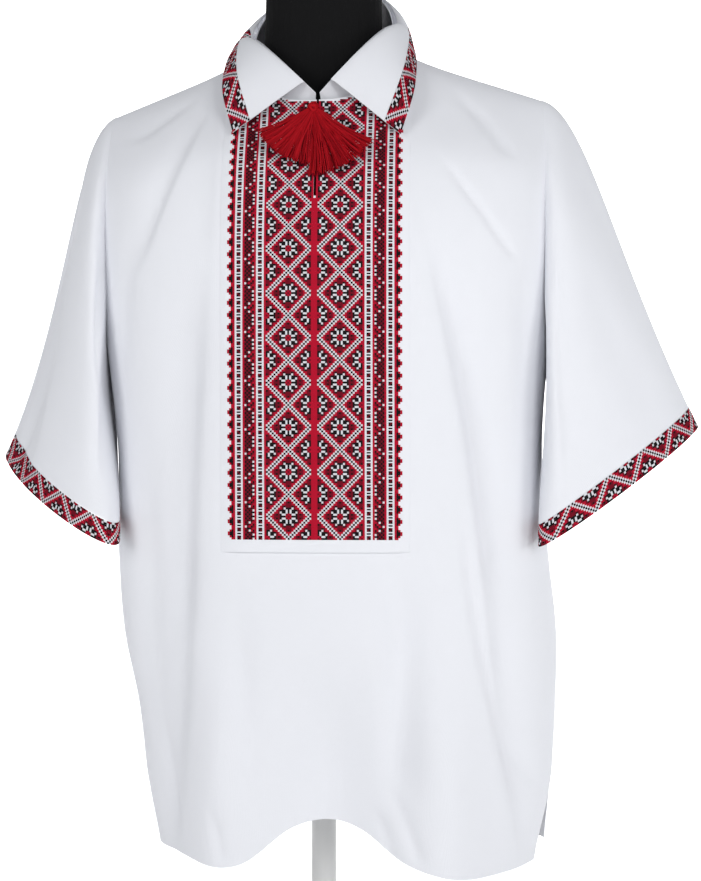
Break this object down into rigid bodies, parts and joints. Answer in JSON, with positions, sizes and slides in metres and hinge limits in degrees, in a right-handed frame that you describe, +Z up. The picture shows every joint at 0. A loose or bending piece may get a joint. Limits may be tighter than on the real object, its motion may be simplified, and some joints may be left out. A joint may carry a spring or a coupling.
{
  "type": "embroidered shirt on a dress form",
  "caption": "Short-sleeved pull-over folk shirt with an embroidered front insert, cuffs and collar and a tasselled neck tie, on a limbless dress form with a round stand.",
  "frame": {"origin": "centre of the flat underside of the stand's round base, on the surface it stands on", "axes": "+Z up, the shirt's front faces -Y, +X to the right of someone looking at the front"},
  "size_m": [0.6945, 0.3, 1.0903],
  "materials": {
    "white_cotton": "smooth bright white plain-weave cotton, faint cool tint",
    "embroidered_cotton": "white cotton covered with red, crimson, black and white cross-stitch",
    "tassel_thread": "deep red stranded cotton thread",
    "black_form_cover": "matte black knit cover",
    "white_painted_stand": "satin white paint"
  },
  "bodies": {
    "root": {"front_body": "white_cotton", "back_body": "white_cotton", "sleeve_left": "white_cotton", "sleeve_right": "white_cotton", "collar_stand": "white_cotton", "collar_leaf": "white_cotton", "embroidered_insert": "embroidered_cotton", "cuff_left": "embroidered_cotton", "cuff_right": "embroidered_cotton", "collar_trim": "embroidered_cotton", "tassel_knot": "tassel_thread", "tassel_left": "tassel_thread", "tassel_right": "tassel_thread", "form_torso": "black_form_cover", "neck_cap": "black_form_cover", "form_socket": "white_painted_stand", "stand_pole": "white_painted_stand", "stand_flange": "white_painted_stand", "stand_base": "white_painted_stand"}
  },
  "joints": []
}
